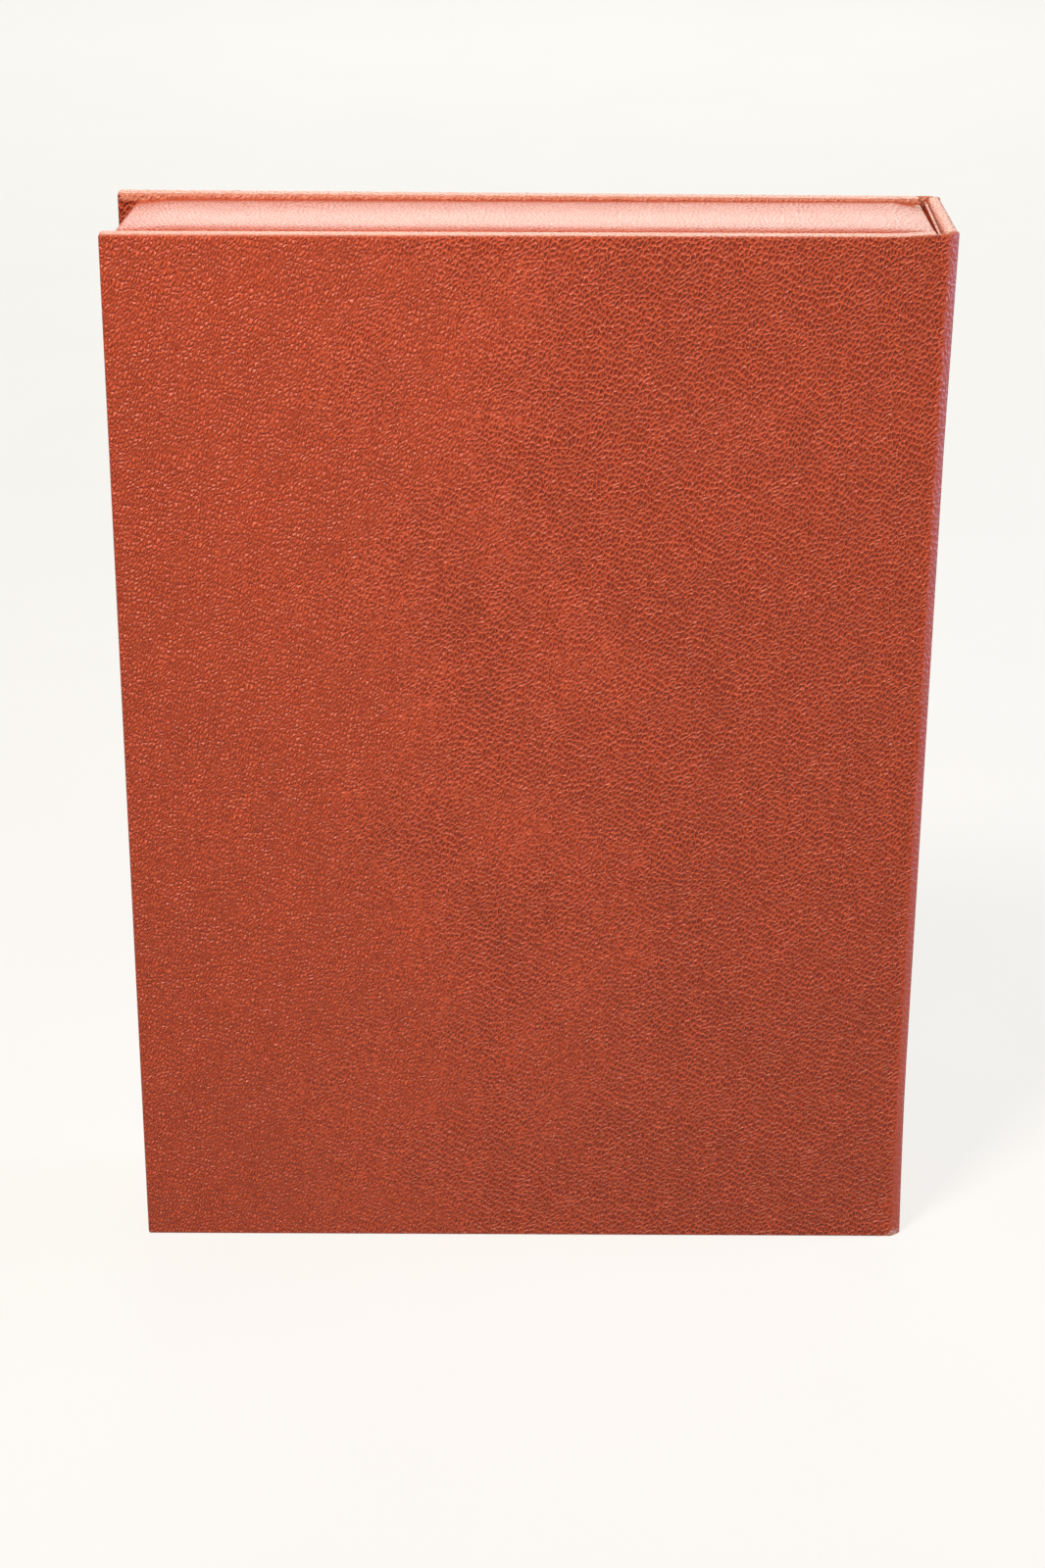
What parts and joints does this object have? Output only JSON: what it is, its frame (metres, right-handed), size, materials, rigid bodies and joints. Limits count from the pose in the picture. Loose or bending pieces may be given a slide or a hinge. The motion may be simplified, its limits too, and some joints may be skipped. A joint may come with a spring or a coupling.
{
  "type": "clamshell book box",
  "caption": "Drop-spine clamshell box for a book or papers: two covers hinged to a spine in red grained leather, each cover carrying a tray that nests in the other.",
  "frame": {"origin": "centre of the tail edge, on the surface that the closed box stands on", "axes": "+X from the fore-edge to the spine, +Y from the back cover to the front cover, +Z from tail to head"},
  "size_m": [0.196, 0.041, 0.2675],
  "materials": {
    "cover_leather": "pebbled grain, satin",
    "tray_leather": "pebbled grain, satin",
    "lining_leather": "fine grain, satin",
    "greyboard": "matte",
    "lining_paper": "matte"
  },
  "bodies": {
    "back_cover": {"back_board": "greyboard", "back_cover_leather": "cover_leather", "back_joint_leather": "cover_leather", "back_joint_lining": "lining_leather", "inner_tray_base": "greyboard", "inner_tray_head_wall": "greyboard", "inner_tray_tail_wall": "greyboard", "inner_tray_fore_edge_wall": "greyboard", "inner_tray_wrap": "tray_leather", "inner_tray_floor_lining": "lining_paper"},
    "spine": {"spine_board": "greyboard", "spine_leather": "cover_leather", "spine_lining": "lining_leather"},
    "front_cover": {"front_board": "greyboard", "front_cover_leather": "cover_leather", "front_joint_leather": "cover_leather", "front_joint_lining": "lining_leather", "outer_tray_base": "greyboard", "outer_tray_head_wall": "greyboard", "outer_tray_tail_wall": "greyboard", "outer_tray_fore_edge_wall": "greyboard", "outer_tray_wrap": "tray_leather", "outer_tray_floor_lining": "lining_paper"}
  },
  "joints": [
    {"name": "spine_hinge", "type": "hinge", "parent": "back_cover", "child": "spine", "pos_m": [0.09757, -0.02007, 0.13375], "axis": [0, 0, -1], "range_deg": [0, 90], "deforming": ["back_joint_leather", "back_joint_lining"]},
    {"name": "cover_hinge", "type": "hinge", "parent": "spine", "child": "front_cover", "pos_m": [0.09757, 0.02007, 0.13375], "axis": [0, 0, -1], "range_deg": [0, 90], "deforming": ["front_joint_leather", "front_joint_lining"]}
  ],
  "couplings": [
    {"joint": "spine_hinge", "follows": "cover_hinge", "ratio": 1}
  ]
}
